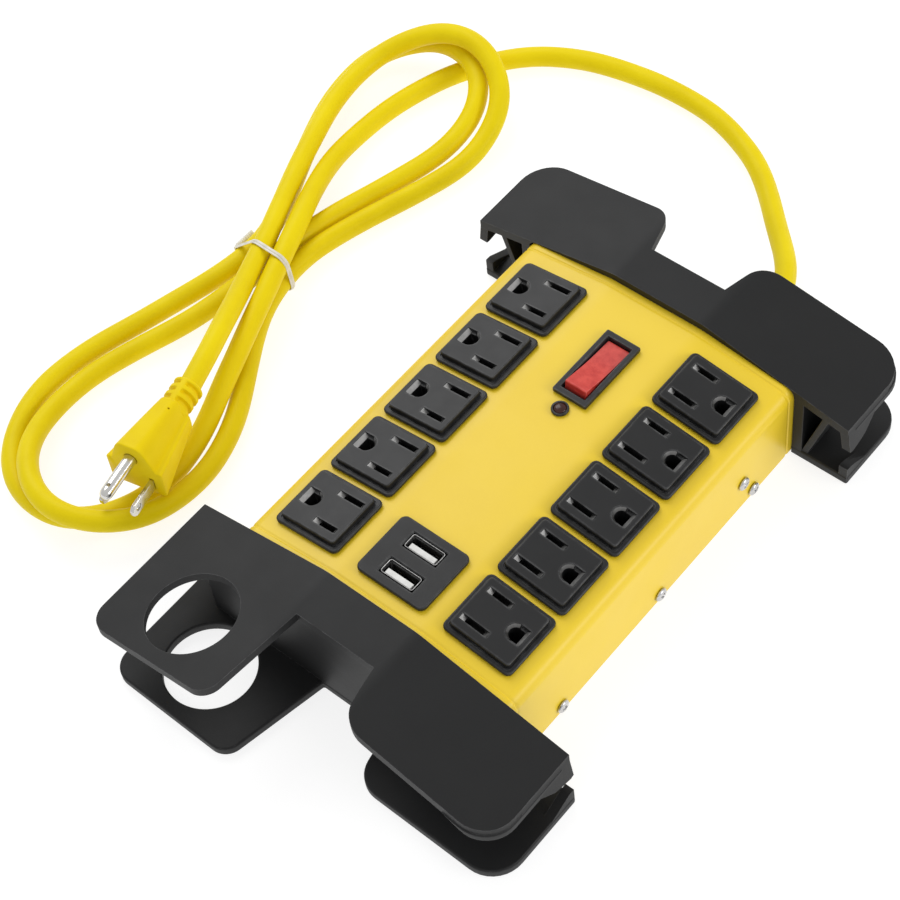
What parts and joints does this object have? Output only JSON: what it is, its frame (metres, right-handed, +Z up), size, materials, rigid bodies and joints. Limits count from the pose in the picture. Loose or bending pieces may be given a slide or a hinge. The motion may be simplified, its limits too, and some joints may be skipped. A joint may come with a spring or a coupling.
{
  "type": "power strip",
  "caption": "Workshop power strip: sheet-steel housing with rows of grounded outlets, USB ports and a lit rocker switch, moulded cord-wrap end caps with a hanging hole, captive cord and plug",
  "frame": {"origin": "Middle of the strip's footprint, on the surface it lies on; the cord, its plug, gland and tie are left out of the footprint.", "axes": "+X toward the row of outlets on the right when the cord's end is at the back, +Y toward the end the cord leaves from, +Z up through the outlets."},
  "size_m": [0.2697, 0.3246, 0.0445],
  "materials": {
    "yellow_paint": "satin powder coat on folded sheet steel",
    "cap_plastic": "fine-textured black moulding",
    "black_plastic": "satin black moulding",
    "red_lens": "translucent red, polished",
    "amber_lens": "dark red translucent, polished",
    "cord_yellow": "soft satin vinyl jacket",
    "steel": "zinc plated",
    "nickel": "nickel plated",
    "brass": "stamped strip",
    "board_green": "solder mask",
    "varistor_blue": "dipped epoxy",
    "port_white": "moulded contact carrier",
    "tie_white": "vinyl-coated tie"
  },
  "bodies": {
    "strip": {"base_plate": "steel", "cord": "cord_yellow", "cord_gland": "black_plastic", "cord_tie": "tie_white", "front_cap": "cap_plastic", "ground_bar_left": "brass", "ground_bar_right": "brass", "housing_shell": "yellow_paint", "indicator_lamp": "red_lens", "indicator_lens": "amber_lens", "live_bar_left": "brass", "live_bar_right": "brass", "neutral_bar_left": "brass", "neutral_bar_right": "brass", "outlet_left_1": "black_plastic", "outlet_left_2": "black_plastic", "outlet_left_3": "black_plastic", "outlet_left_4": "black_plastic", "outlet_left_5": "black_plastic", "outlet_right_1": "black_plastic", "outlet_right_2": "black_plastic", "outlet_right_3": "black_plastic", "outlet_right_4": "black_plastic", "outlet_right_5": "black_plastic", "plug_blade_left": "nickel", "plug_blade_right": "nickel", "plug_body": "cord_yellow", "plug_ground_pin": "nickel", "rear_cap": "cap_plastic", "rocker_pin": "steel", "screw_left_1": "steel", "screw_left_2": "steel", "screw_left_3": "steel", "screw_left_4": "steel", "screw_right_1": "steel", "screw_right_2": "steel", "screw_right_3": "steel", "screw_right_4": "steel", "surge_board": "board_green", "switch_body": "black_plastic", "usb_board": "board_green", "usb_plate": "black_plastic", "usb_port_front": "nickel", "usb_port_rear": "nickel", "usb_tongue_front": "port_white", "usb_tongue_rear": "port_white", "varistor_1": "varistor_blue", "varistor_2": "varistor_blue", "varistor_3": "varistor_blue"},
    "rocker": {"switch_rocker": "red_lens"}
  },
  "joints": [
    {"name": "rocker_tilt", "type": "hinge", "parent": "strip", "child": "rocker", "pos_m": [0.0005, 0.0529, 0.0375], "axis": [1, 0, 0], "range_deg": [0, 16]}
  ]
}
